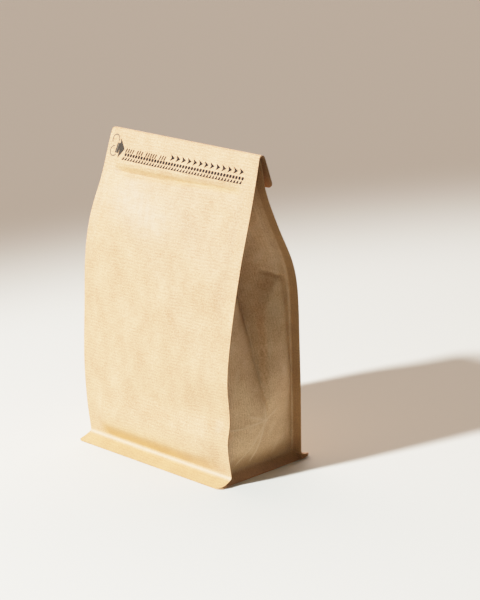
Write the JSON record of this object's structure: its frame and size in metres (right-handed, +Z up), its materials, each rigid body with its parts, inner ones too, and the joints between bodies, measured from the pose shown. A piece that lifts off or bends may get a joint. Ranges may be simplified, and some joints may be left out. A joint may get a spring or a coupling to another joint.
{
  "type": "coffee bag",
  "caption": "Shut flat-bottomed kraft paper bag with sealed edge fins, pleated side gussets and its top folded over behind.",
  "frame": {"origin": "middle of the base, on the surface that the bag stands on", "axes": "+Z up along the bag's height, +X to the right seen from the front, the printed front panel faces -Y"},
  "size_m": [0.14, 0.0908, 0.2225],
  "materials": {
    "kraft_paper": "matt brown kraft paper with fine ribs across"
  },
  "bodies": {
    "root": {"bag": "kraft_paper"}
  },
  "joints": []
}
